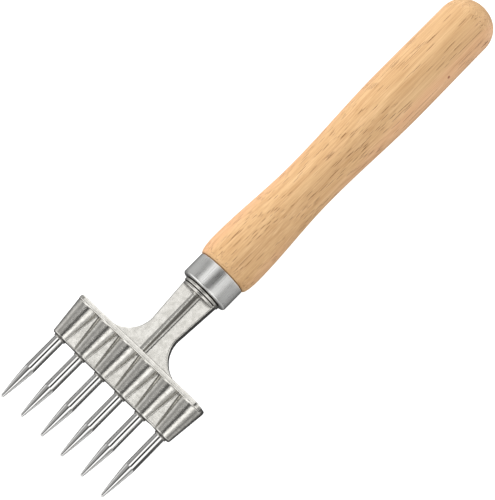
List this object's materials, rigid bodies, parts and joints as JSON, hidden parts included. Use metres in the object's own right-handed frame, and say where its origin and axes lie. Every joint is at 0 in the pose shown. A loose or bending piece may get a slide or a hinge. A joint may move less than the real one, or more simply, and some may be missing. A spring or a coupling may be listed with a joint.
{
  "type": "ice chipper",
  "caption": "Hand tool with a row of pointed steel spikes in a cast metal head, on a neck, ferrule and turned wooden handle, for chipping and pricking.",
  "frame": {"origin": "centre of the whole tool's box, on the long axis of the tool", "axes": "+X along the tool towards the handle's butt, so the spikes point to -X; +Y along the bar of the head; +Z out of the broad face of the head"},
  "size_m": [0.23, 0.0642, 0.0234],
  "materials": {
    "cast_alloy": "satin cast light alloy, slightly warm grey",
    "polished_steel": "bright polished steel",
    "ferrule_steel": "drawn steel, satin",
    "pale_wood": "pale straight-grained hardwood, satin clear coat"
  },
  "bodies": {
    "root": {"head_casting": "cast_alloy", "spike_1": "polished_steel", "spike_2": "polished_steel", "spike_3": "polished_steel", "spike_4": "polished_steel", "spike_5": "polished_steel", "spike_6": "polished_steel", "ferrule": "ferrule_steel", "handle": "pale_wood"}
  },
  "joints": []
}
